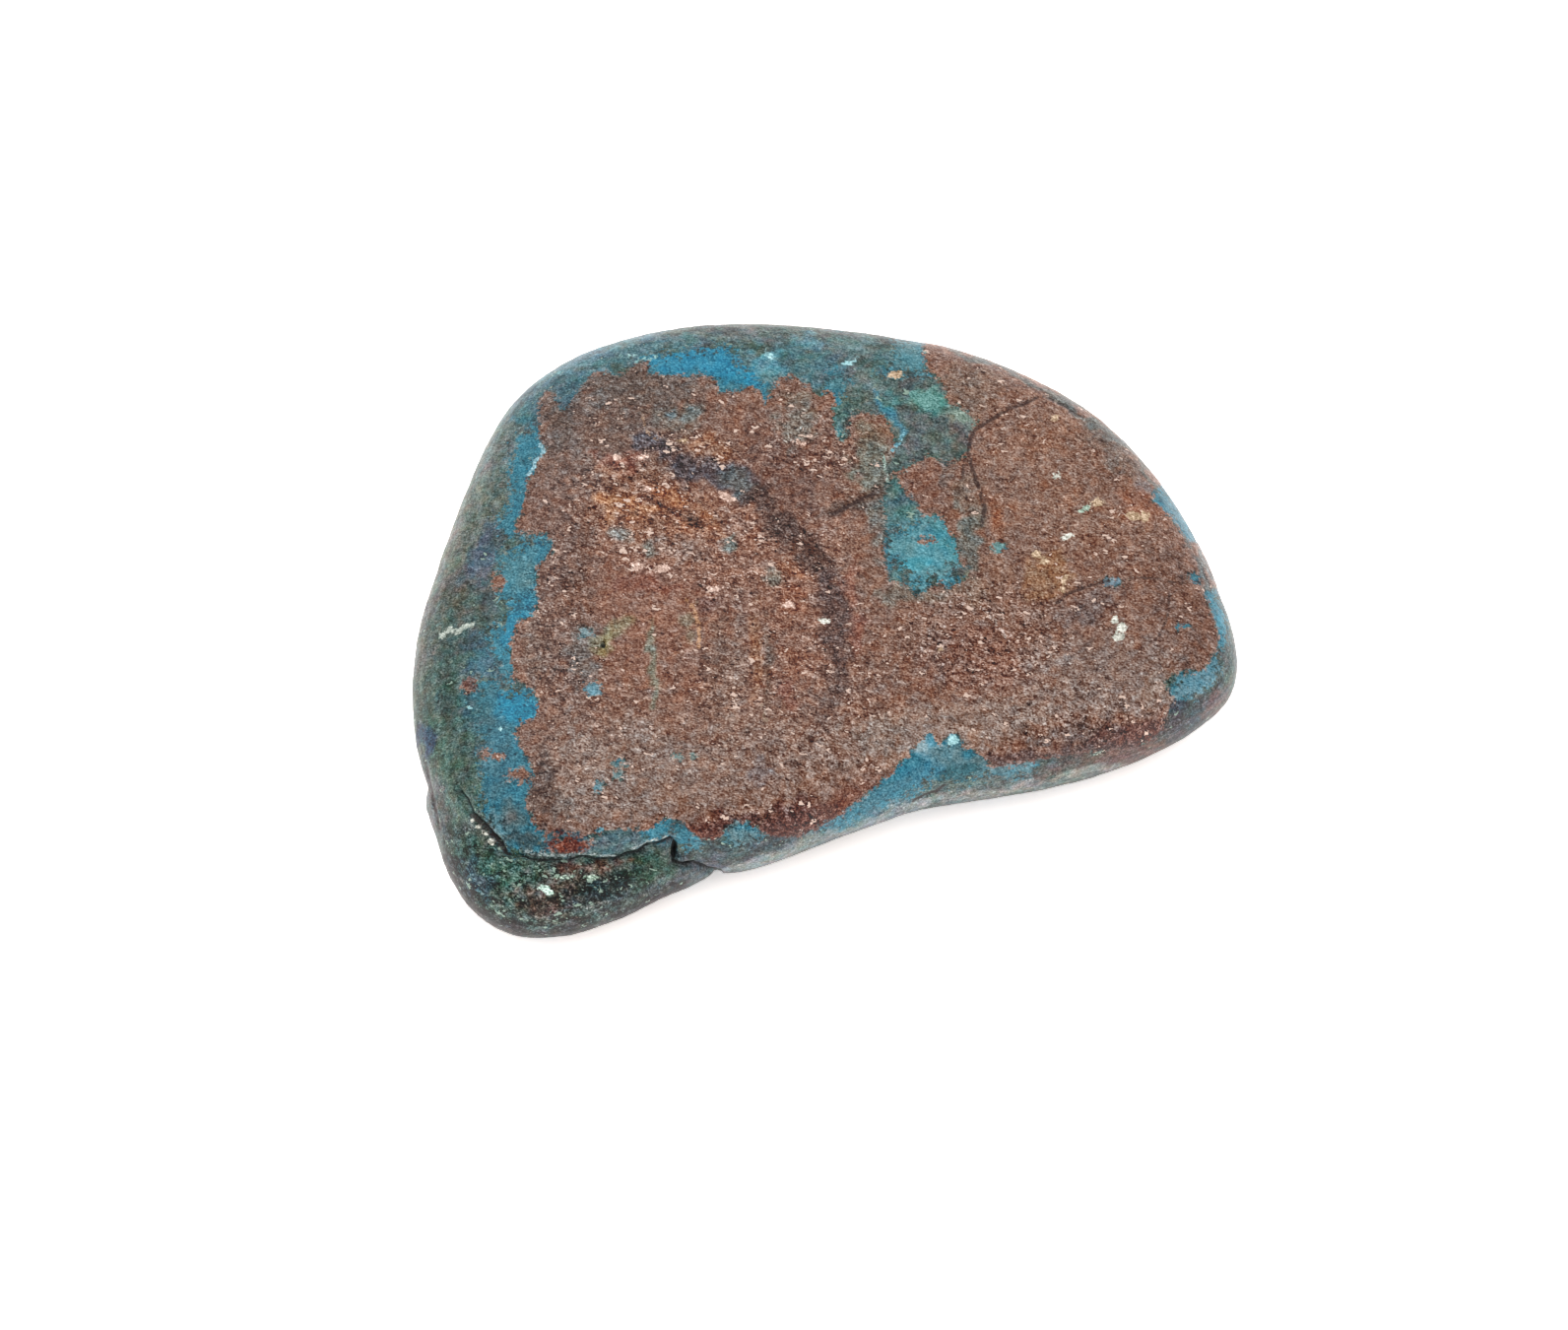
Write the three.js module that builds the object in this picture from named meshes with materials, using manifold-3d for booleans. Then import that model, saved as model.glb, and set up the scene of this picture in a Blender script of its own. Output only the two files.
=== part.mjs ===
// A tumbled slab of cuprite with chrysocolla, 59 mm long.
//
// It is one stone. A flat-topped plate makes most of it, and at one corner an older green layer
// reaches out from under the plate's lip. The two are grown together, so they are modelled as two
// rounded slabs and joined in one solid.
//
// Units are millimetres, +Z up. The origin is under the middle of the stone, on the surface it lies on.

import * as THREE from "three";
import { mergeVertices } from "three/addons/utils/BufferGeometryUtils.js";
import Module from "manifold-3d";

const PLATE_THICKNESS = 10; // at the middle of the plate
const LAYER_THICKNESS = 8.5; // of the green layer, at the middle of its hidden part
const CROWN = 0.5; // how much lower a face is at its edge than at its middle

// The long, low waves that tumbling leaves on a face. A wave runs along (x, y), and its height
// passes through one radian in each span.
const WAVE_HEIGHT = 0.08;
const WAVES = [
  { x: 1, y: 0, span: 5.1, phase: 1.2 },
  { x: 0, y: 1, span: 4.3, phase: -0.4 },
  { x: 1, y: 1, span: 7.7, phase: 2.1 },
];

// The girdle is the widest line round a slab. Each point is x, y and the reach of the rounding above
// it: about how far the face takes to turn down into the side. Points run anticlockwise.
const PLATE = {
  middle: [-1, 1],
  thickness: PLATE_THICKNESS,
  girdleHeight: 4.3,
  undersideReach: 4.5,
  around: 120,
  girdle: [
    [29.5, -3.2, 4],
    [28.6, 1.5, 4],
    [26.9, 6.4, 4],
    [24.4, 11.2, 4],
    [20.4, 16.1, 4],
    [15.1, 19.7, 4],
    [9.6, 22.1, 4.5],
    [3.2, 23.6, 5],
    [-4.1, 24.4, 5],
    [-10.1, 24.2, 5],
    [-15.1, 23.0, 5],
    [-19.5, 21.1, 6],
    [-23.2, 17.7, 7],
    [-25.2, 13.5, 8],
    [-26.7, 8.9, 9],
    [-28.1, 4.0, 10],
    [-29.2, -0.8, 10],
    [-29.5, -5.3, 10],
    [-29.1, -9.6, 9],
    [-28.2, -12.9, 7],
    [-26.8, -16.0, 5],
    [-24.8, -18.4, 3.5],
    [-22.2, -20.0, 3],
    [-18.5, -20.4, 2.5],
    [-14.5, -19.9, 2.5],
    [-11.6, -19.0, 2.5],
    [-9.2, -19.0, 2.5],
    [-6.6, -19.1, 3.5],
    [-4.1, -18.4, 4],
    [-0.6, -17.0, 4],
    [2.9, -15.6, 4],
    [6.3, -14.3, 4],
    [9.8, -13.6, 4],
    [13.2, -13.0, 4],
    [16.7, -12.2, 4],
    [20.2, -11.1, 4],
    [23.7, -9.6, 4],
    [26.9, -7.6, 4],
    [28.9, -5.6, 4],
  ],
};

const GREEN_LAYER = {
  middle: [-17, -16],
  thickness: LAYER_THICKNESS,
  girdleHeight: 3.4,
  undersideReach: 3.5,
  around: 72,
  girdle: [
    [-7.8, -18.4, 4],
    [-9.5, -14.5, 5],
    [-13.0, -11.0, 5],
    [-18.0, -9.0, 5],
    [-23.5, -9.5, 5],
    [-27.4, -11.3, 5],
    [-28.2, -14.0, 5.5],
    [-27.4, -16.9, 6],
    [-26.3, -19.7, 6],
    [-24.6, -22.1, 6],
    [-21.9, -23.6, 6],
    [-18.5, -23.6, 6],
    [-14.5, -22.3, 6],
    [-11.2, -20.5, 5],
    [-9.0, -19.4, 4],
  ],
};

const FACE_RINGS = 7; // rings from the middle to where the rounding begins
const RIM_RINGS = 11; // rings down the rounding to the girdle
const UNDERSIDE_RINGS = 8; // rings from the girdle to the flat resting face
const RIM_START = THREE.MathUtils.degToRad(14); // how far the face has turned where the rim rings begin
const QUARTER_TURN = Math.PI / 2;
const WELD_DISTANCE = 1e-4;

// The height of the waves at a point. They fade out towards the girdle, where share is 1.
function waveHeight(x, y, share) {
  const sum = WAVES.reduce((total, wave) => {
    return total + Math.sin((x * wave.x + y * wave.y) / wave.span + wave.phase);
  }, 0);
  return WAVE_HEIGHT * sum * (1 - share ** 4);
}

// The girdle as evenly many points of a smooth closed curve. The reach of the rounding is carried as
// the curve's third coordinate, so it changes as smoothly as the outline does.
function girdlePoints({ girdle, middle, around }) {
  const stations = girdle.map(([x, y, reach]) => new THREE.Vector3(x, y, reach));
  const curve = new THREE.CatmullRomCurve3(stations, true, "centripetal");
  return Array.from({ length: around }, (_, i) => {
    const { x, y, z: reach } = curve.getPoint(i / around);
    const radius = Math.hypot(x - middle[0], y - middle[1]);
    return { x, y, radius, power: (2 * radius) / reach };
  });
}

// One slab: rings of points from the middle of the face, over the rim and under to the resting face.
// A point's share is its place between the middle, 0, and the girdle, 1.
function slabGeometry(slab) {
  const { middle, thickness, girdleHeight, undersideReach } = slab;
  const girdle = girdlePoints(slab);
  const place = (edge, share, height) => [
    middle[0] + (edge.x - middle[0]) * share,
    middle[1] + (edge.y - middle[1]) * share,
    height,
  ];
  const facePoint = (edge, share) => {
    const [x, y] = place(edge, share, 0);
    const rise = thickness - girdleHeight - CROWN * share ** 2;
    const fall = Math.sqrt(Math.max(0, 1 - share ** edge.power));
    return [x, y, girdleHeight + rise * fall + waveHeight(x, y, share)];
  };
  const shareAtTurn = (edge, turn) => Math.sin(turn) ** (2 / edge.power);

  const rings = [];
  for (let i = 1; i <= FACE_RINGS; i++) {
    rings.push(
      girdle.map((edge) => facePoint(edge, (shareAtTurn(edge, RIM_START) * i) / FACE_RINGS)),
    );
  }
  for (let i = 1; i <= RIM_RINGS; i++) {
    const turn = RIM_START + ((QUARTER_TURN - RIM_START) * i) / RIM_RINGS;
    rings.push(girdle.map((edge) => facePoint(edge, shareAtTurn(edge, turn))));
  }
  for (let i = 1; i <= UNDERSIDE_RINGS; i++) {
    const turn = (QUARTER_TURN * i) / UNDERSIDE_RINGS;
    const inset = undersideReach * (1 - Math.cos(turn));
    const height = girdleHeight * (1 - Math.sin(turn));
    rings.push(girdle.map((edge) => place(edge, 1 - inset / edge.radius, height)));
  }
  return closedGeometry([...middle, thickness + waveHeight(...middle, 0)], rings, [...middle, 0]);
}

// A closed surface from a first point, rings of equally many points, and a last point.
function closedGeometry(first, rings, last) {
  const around = rings[0].length;
  const ringStart = (ring) => 1 + ring * around;
  const lastPoint = ringStart(rings.length);
  const index = [];
  for (let i = 0; i < around; i++) {
    const next = (i + 1) % around;
    index.push(0, ringStart(0) + i, ringStart(0) + next);
    for (let ring = 0; ring < rings.length - 1; ring++) {
      const inner = ringStart(ring);
      const outer = ringStart(ring + 1);
      index.push(inner + i, outer + i, outer + next);
      index.push(inner + i, outer + next, inner + next);
    }
    const lowest = ringStart(rings.length - 1);
    index.push(lowest + i, lastPoint, lowest + next);
  }
  const positions = [first, ...rings.flat(), last].flat();
  return new THREE.BufferGeometry()
    .setAttribute("position", new THREE.Float32BufferAttribute(positions, 3))
    .setIndex(index);
}

const wasm = await Module();
wasm.setup();

function solidOf(geometry) {
  const merged = mergeVertices(geometry, WELD_DISTANCE);
  return new wasm.Manifold(
    new wasm.Mesh({
      numProp: 3,
      vertProperties: merged.attributes.position.array,
      triVerts: new Uint32Array(merged.index.array),
    }),
  );
}

function geometryOf(solid) {
  const { vertProperties, triVerts } = solid.getMesh();
  const geometry = new THREE.BufferGeometry()
    .setAttribute("position", new THREE.BufferAttribute(vertProperties, 3))
    .setIndex(new THREE.BufferAttribute(triVerts, 1));
  geometry.computeVertexNormals();
  return geometry;
}

function makeStone() {
  const joined = solidOf(slabGeometry(PLATE)).add(solidOf(slabGeometry(GREEN_LAYER)));
  const { min, max } = joined.boundingBox();
  const centred = joined.translate([-(min[0] + max[0]) / 2, -(min[1] + max[1]) / 2, -min[2]]);
  const stone = new THREE.Mesh(
    geometryOf(centred),
    new THREE.MeshStandardMaterial({ color: 0x7d5a4c, roughness: 0.42, metalness: 0 }),
  );
  stone.name = "cuprite_stone";
  return stone;
}

const specimen = new THREE.Group();
specimen.add(makeStone());

export default specimen;
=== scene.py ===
"""The looks of a tumbled slab of cuprite with chrysocolla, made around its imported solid.

The stone is remeshed finely from its solid, worn and cracked by moving points, and painted from
landmarks. A landmark on the stone's face or rim is given as a pixel of the 1592 x 1350 frame that
the camera below takes, and the side that the camera can't see has a pattern of its own.
"""

import bmesh
import bpy
import numpy as np
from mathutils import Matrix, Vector, noise


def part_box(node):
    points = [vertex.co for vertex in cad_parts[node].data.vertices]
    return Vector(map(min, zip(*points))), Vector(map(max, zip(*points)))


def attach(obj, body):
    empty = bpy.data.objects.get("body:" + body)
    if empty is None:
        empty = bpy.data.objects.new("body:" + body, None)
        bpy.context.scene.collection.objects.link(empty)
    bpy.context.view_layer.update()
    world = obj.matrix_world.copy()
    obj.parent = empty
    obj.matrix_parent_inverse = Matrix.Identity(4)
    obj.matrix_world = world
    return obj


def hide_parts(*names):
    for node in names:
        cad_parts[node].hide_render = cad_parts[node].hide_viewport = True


NODE = "cuprite_stone"
MM = 0.001

# --- The camera ---

FRAME_PIXELS = np.array([1592.0, 1350.0])
ELEVATION = np.radians(63.0)
DISTANCE = 300.0  # mm from the target
TARGET = np.array([-3.04, -1.31, 0.0])  # mm
FOCAL_PIXELS = 4166.0
SENSOR_WIDTH = 36.0
PIXELS_PER_MM = 14.0  # on the stone's face

TO_CAMERA = np.array([0.0, -np.cos(ELEVATION), np.sin(ELEVATION)])
IMAGE_UP = np.array([0.0, np.sin(ELEVATION), np.cos(ELEVATION)])
CAMERA_PLACE = TARGET + TO_CAMERA * DISTANCE

# --- The mesh ---

VOXEL = 0.42  # mm, before the seen side is divided once more
SMOOTHING_ROUNDS = 14
SMOOTHING_SHARES = (0.5, -0.53)  # toward the neighbours' middle, and back
SEEN_BELOW = 0.12  # how far past the silhouette, as a cosine, the fine mesh goes on
FULL_SIDE = np.array([-0.5, 0.87, 0.0])  # the rim is a little fuller toward the back and the left
RIM_GROWTH = 0.12  # mm, all around
FULL_GROWTH = 0.2  # mm more on the full side
BOX_SPARE = np.array([0.3, 0.3, 0.0])  # mm that the rim may stand past the solid's box

# --- Landmarks: outlines and lines, in pixels of the frame ---

# The brown cuprite field of the face.
FIELD = [
    (548, 446), (546, 425), (547, 408), (551, 398), (558, 395), (564, 403), (570, 419), (580, 407),
    (589, 392), (599, 382), (610, 377), (632, 380), (637, 374), (648, 368), (657, 366), (659, 379),
    (679, 381), (691, 380), (698, 383), (709, 380), (720, 382), (727, 387), (728, 395), (732, 399),
    (740, 396), (749, 398), (757, 393), (765, 393), (771, 397), (776, 405), (777, 411), (785, 392),
    (793, 384), (803, 381), (811, 384), (820, 391), (826, 398), (834, 402), (842, 397), (849, 401),
    (890, 395), (938, 366), (940, 320), (1060, 340), (1160, 400), (1200, 470), (1171, 499), (1171, 507),
    (1190, 526), (1207, 549), (1240, 555), (1250, 590), (1222, 601), (1228, 613), (1237, 638),
    (1238, 653), (1225, 678), (1215, 682), (1204, 681), (1193, 684), (1181, 693), (1194, 712),
    (1186, 721), (1183, 735), (1177, 744), (1165, 755), (1154, 761), (1098, 765), (1006, 780),
    (999, 769), (976, 756), (972, 746), (966, 744), (957, 754), (952, 757), (948, 746), (943, 743),
    (910, 780), (867, 817), (852, 828), (822, 846), (808, 849), (791, 850), (775, 846), (758, 833),
    (745, 834), (726, 853), (711, 851), (700, 843), (692, 834), (682, 830), (672, 833), (659, 841),
    (645, 843), (629, 841), (598, 848), (570, 844), (556, 847), (548, 844), (541, 835), (537, 824),
    (534, 809), (541, 795), (541, 780), (524, 750), (524, 739), (532, 733), (542, 729), (547, 720),
    (546, 710), (542, 699), (531, 694), (521, 687), (522, 678), (517, 658), (524, 635), (530, 630),
    (539, 627), (544, 620), (546, 607), (544, 594), (545, 580), (548, 572), (559, 560), (561, 549),
    (554, 541), (532, 541), (523, 539), (523, 529), (529, 521), (536, 483), (543, 478), (544, 466),
    (554, 456),
]

# Teal film that lies over the field, in two parts.
NORTH_FILM = [
    (848, 395), (845, 430), (849, 443), (856, 447), (860, 440), (862, 424), (875, 418), (893, 421),
    (903, 431), (911, 455), (904, 466), (900, 480), (908, 481), (941, 463), (952, 466), (960, 472),
    (976, 466), (984, 455), (985, 440), (988, 430), (993, 428), (984, 420), (965, 409), (955, 386),
    (942, 374), (930, 325), (850, 325),
]
SOUTH_FILM = [
    (908, 478), (900, 492), (897, 511), (899, 527), (897, 560), (899, 575), (903, 588), (915, 592),
    (933, 605), (955, 590), (962, 597), (975, 592), (985, 585), (987, 577), (975, 572), (970, 548),
    (962, 538), (958, 527), (949, 520), (941, 523), (935, 520), (930, 510), (920, 500),
]

# Bright blue chrysocolla.
BLUE_PATCHES = [
    # the left strip, from its upper end
    [(519, 473), (524, 452), (533, 438), (544, 440), (549, 452), (542, 468), (543, 478), (535, 484),
     (530, 518), (523, 528), (522, 539), (514, 542), (508, 535), (506, 528), (518, 517)],
    [(505, 564), (520, 562), (535, 553), (551, 546), (560, 550), (559, 560), (547, 572), (544, 581),
     (545, 615), (539, 624), (527, 628), (522, 638), (513, 664), (520, 672), (521, 683), (511, 685),
     (509, 673), (501, 663), (498, 652), (500, 638), (511, 630), (521, 611), (513, 606), (510, 590),
     (512, 575)],
    [(492, 694), (508, 693), (512, 704), (535, 704), (545, 713), (546, 722), (540, 728), (527, 732),
     (522, 741), (524, 751), (541, 781), (541, 795), (534, 808), (537, 824), (542, 836), (549, 846),
     (545, 860), (530, 863), (514, 862), (494, 828), (490, 800), (491, 755), (486, 735), (484, 715)],
    # the top strip
    [(660, 364), (714, 355), (736, 353), (746, 360), (748, 370), (756, 374), (775, 391), (777, 411),
     (771, 397), (765, 393), (757, 393), (749, 398), (740, 396), (732, 399), (728, 395), (727, 387),
     (720, 382), (709, 380), (698, 383), (660, 379)],
    [(843, 400), (848, 402), (861, 387), (850, 376), (841, 374)],
    [(893, 376), (898, 379), (907, 371), (912, 353), (910, 346), (936, 347), (938, 357), (934, 376)],
    # the patch in the field
    [(941, 526), (954, 525), (961, 535), (971, 558), (968, 569), (961, 580), (966, 590), (962, 597),
     (957, 590), (955, 581), (944, 580), (938, 593), (929, 589), (912, 564), (906, 572), (904, 556),
     (907, 543), (914, 538), (921, 540)],
    # the right edge
    [(1170, 500), (1171, 507), (1190, 526), (1207, 549), (1216, 556), (1206, 530), (1186, 500)],
    [(1221, 600), (1228, 613), (1237, 638), (1238, 653), (1243, 650), (1244, 636), (1239, 620),
     (1230, 604)],
    [(1232, 668), (1225, 680), (1212, 685), (1200, 692), (1196, 702), (1206, 708), (1218, 703),
     (1230, 692), (1236, 680)],
    # the front edge
    [(842, 846), (864, 822), (883, 806), (902, 785), (920, 771), (933, 758), (942, 746), (952, 748),
     (955, 759), (961, 757), (961, 746), (971, 745), (977, 757), (995, 765), (1002, 778), (998, 788),
     (980, 794), (949, 789), (936, 800), (874, 829)],
    [(1005, 779), (1030, 775), (1046, 776), (1048, 785), (1020, 787)],
    [(736, 846), (742, 838), (752, 836), (764, 839), (768, 848), (756, 856), (742, 855)],
    [(686, 842), (694, 838), (702, 846), (708, 856), (698, 862), (688, 856)],
    [(657, 845), (666, 838), (677, 835), (682, 842), (676, 850), (664, 853)],
]
BLUE_SPOTS = [  # centre, radii
    ((1213, 587), (6, 5)), ((1014, 556), (8, 6)), ((602, 699), (9, 7)), ((607, 798), (6, 6)),
    ((628, 775), (7, 5)), ((627, 787), (5, 4)), ((688, 768), (5, 4)), ((705, 768), (4, 4)),
    ((1202, 636), (6, 3)), ((594, 643), (8, 6)), ((1129, 591), (9, 4)),
]
BROWN_SPOTS = [  # islands inside the blue
    ((941, 548), (7, 4)), ((476, 696), (8, 8)), ((491, 765), (5, 4)), ((508, 768), (6, 4)),
    ((529, 787), (12, 7)), ((577, 859), (20, 8)), ((505, 590), (7, 9)),
]

# Lines: points and width.
CRACKS = [
    ([(1053, 403), (1040, 410), (1027, 413), (988, 437)], 3.2),
    ([(988, 437), (983, 457), (987, 477), (995, 497), (1000, 517), (997, 534)], 3.6),
    ([(979, 468), (976, 490), (982, 506)], 2.6),
    ([(1060, 402), (1080, 412), (1100, 424)], 1.8),
    ([(1072, 613), (1083, 603), (1098, 597), (1126, 589)], 2.6),
    ([(1138, 588), (1159, 586), (1180, 588), (1198, 592)], 2.0),
    ([(1187, 604), (1186, 622), (1180, 640), (1172, 651)], 2.0),
    ([(1197, 570), (1202, 592)], 2.0),
    ([(846, 521), (886, 501)], 3.5),
    ([(478, 828), (490, 838), (512, 864)], 4.0),
    ([(432, 778), (446, 842)], 2.0),
    ([(927, 814), (936, 809), (950, 804), (960, 796)], 2.5),
]
LEDGE = [(465, 802), (473, 812), (478, 825), (490, 836), (497, 845), (508, 855), (513, 867),
         (528, 868), (545, 873), (562, 872), (574, 874), (592, 870), (606, 873), (625, 873),
         (636, 868), (648, 866), (657, 859), (669, 857), (681, 852)]
LEDGE_RIGHT = [(684, 876), (692, 879), (704, 877), (711, 880), (718, 884), (730, 886)]
HOLES = [  # centre, radii, depth in mm: the gap at the ledge's end, and a pit in the field
    ((685, 864), (3.5, 12), 0.8), ((612, 652), (3, 4.5), 0.5),
]

HOLLOW = ((722, 590), (142, 122), 12)  # centre, radii, tilt
HOLLOW_DEPTH = 0.28  # mm
LEDGE_GROOVE = (0.42, 2.0)  # depth in mm, half width in pixels
RIGHT_GROOVE = (0.55, 2.2)
HAIRLINE_DEPTH = 0.07  # mm
FILM_STEP = 0.05  # mm that the mineral films lie below the cuprite
SWELLS = ((0.05, 3.0, 5), (0.018, 0.7, 6))  # the face's own relief: height and size in mm, seed

# Pale and white grains, and some painted glints: centre, radii, colour, and a tilt in degrees if they
# have one.
CREAM = (214, 186, 156)
WHITE = (226, 226, 214)
PINK_GLINT = (228, 194, 178)
PALE_GREEN = (176, 200, 182)
CYAN_WHITE = (176, 226, 232)
MINT = (112, 162, 156)
FLECKS = [
    ((1114, 510), (7, 4), CREAM), ((1102, 516), (6, 3), PALE_GREEN, -30), ((1151, 524), (7, 5), CREAM),
    ((1162, 524), (5, 6), CREAM), ((1083, 545), (6, 3), WHITE, -20), ((1053, 563), (5, 4), CREAM, 40),
    ((1059, 569), (5, 4), CREAM, 40), ((1081, 588), (3, 5), CREAM, 10), ((1079, 598), (3, 3), CREAM),
    ((1132, 629), (4, 4), WHITE), ((1139, 637), (5, 5), WHITE), ((1133, 647), (5, 4), WHITE),
    ((1139, 645), (4, 3), WHITE), ((1073, 483), (4, 3), WHITE), ((1071, 424), (4, 3), CREAM),
    ((909, 380), (8, 4), CREAM, -10), ((555, 904), (9, 4), (206, 236, 222), 25),
    ((550, 900), (4, 3), (206, 236, 222)), ((570, 890), (8, 1.8), PALE_GREEN),
    ((601, 890), (8, 3), PALE_GREEN, 5), ((479, 832), (2.2, 2), WHITE), ((485, 840), (2.4, 2), WHITE),
    ((492, 846), (2.4, 2), WHITE), ((499, 854), (3.4, 2.8), WHITE, 20),
    ((507, 861), (2.6, 2), PALE_GREEN, 10), ((944, 407), (12, 9), MINT, 20),
    ((976, 422), (11, 5), (134, 154, 142), 25), ((928, 400), (7, 4), MINT),
    ((781, 360), (6, 2.5), CYAN_WHITE, 35), ((968, 751), (6, 6), CYAN_WHITE),
    ((862, 368), (8, 2), CYAN_WHITE, -20), ((954, 660), (3, 3), CREAM), ((694, 447), (5, 2), CREAM),
    # the pink flecks here, and the white one at (837, 628), are painted glints
    ((648, 573), (9, 3.5), PINK_GLINT, 5), ((672, 575), (9, 4.5), PINK_GLINT, -5), ((737, 502), (10, 4), PINK_GLINT, 25),
    ((726, 596), (10, 2.5), PINK_GLINT, 5), ((837, 628), (5, 3), WHITE), ((653, 464), (5, 3.5), PINK_GLINT),
    ((626, 464), (4, 3), PINK_GLINT), ((812, 449), (6, 3), PINK_GLINT, 10), ((656, 494), (7, 3), PINK_GLINT, 10),
    ((801, 612), (7, 3.5), PINK_GLINT), ((508, 739), (2, 2), CYAN_WHITE), ((476, 718), (2, 2), CYAN_WHITE),
    ((609, 842), (4, 3), (110, 160, 175)),
]
PALE_LINES = [  # points, width, colour
    ([(697, 607), (705, 617), (710, 638), (709, 655)], 4, (188, 144, 112)),
    ([(632, 692), (656, 710)], 2.5, (184, 154, 138)),
    ([(684, 727), (702, 736)], 3, (188, 156, 140)),
    ([(773, 716), (778, 732)], 3, (182, 158, 140)),
    ([(448, 645), (456, 638), (464, 641), (470, 636), (479, 634)], 5, (186, 196, 186)),
    ([(896, 462), (902, 488)], 3, (158, 180, 170)),
    ([(997, 617), (1008, 628), (1024, 652)], 2.5, (202, 182, 172)),
    ([(548, 451), (553, 458), (545, 466), (541, 476), (535, 482)], 3.5, (146, 188, 200)),
    ([(918, 440), (913, 449), (906, 456)], 3, (120, 175, 190)),
    ([(652, 422), (656, 438), (668, 446)], 2.5, (166, 138, 118)),
    ([(640, 368), (652, 364), (668, 361)], 2, (150, 195, 195)),
    ([(623, 358), (634, 361), (646, 360)], 2, (150, 190, 190)),
    # the next two, along the ledge's lip, are painted highlights
    ([(528, 862), (545, 867), (562, 869), (584, 867), (606, 869), (625, 869)], 2, (150, 165, 165)),
    ([(638, 864), (655, 856), (679, 850)], 2, (160, 175, 175)),
]

# --- Colours, as they look in daylight ---

WHITE_LIGHT = 1.27  # how bright white paper is here, so what a colour is divided by
GLOSS_LIGHT = 0.026  # what the surface's own gloss adds to every colour
GAMMA = 2.2  # between a colour's light and how the eye sees it
LEVEL = 1 / 255 / WHITE_LIGHT ** (1 / GAMMA)  # one step of a colour's 0 to 255 values
DARKEST = 0.02
PAINT_RANGE = (0.004, 0.9)
CUPRITE = (140, 107, 93)
RIM = (84, 100, 97)
BLUE = (66, 126, 144)
# the colour of the painted glints
GLINT = (240, 212, 196)
RIM_SPECK = (170, 196, 180)
CRACK = (62, 46, 40)
# the painted shade in the crack under the ledge and in the holes
PAINTED_CREVICE_SHADE = (30, 28, 26)

# What a number of levels does to red, green and blue.
EVEN = (1.0, 1.0, 1.0)
GRAIN_LEAN = (0.9, 1.0, 1.03)
RED_LEAN = (32.0, -3.0, -25.0)
BLUE_LEAN = (-50.0, 20.0, 50.0)
GREEN_LEAN = (-30.0, 20.0, -20.0)
BROWN_LEAN = (60.0, -20.0, -50.0)

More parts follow.
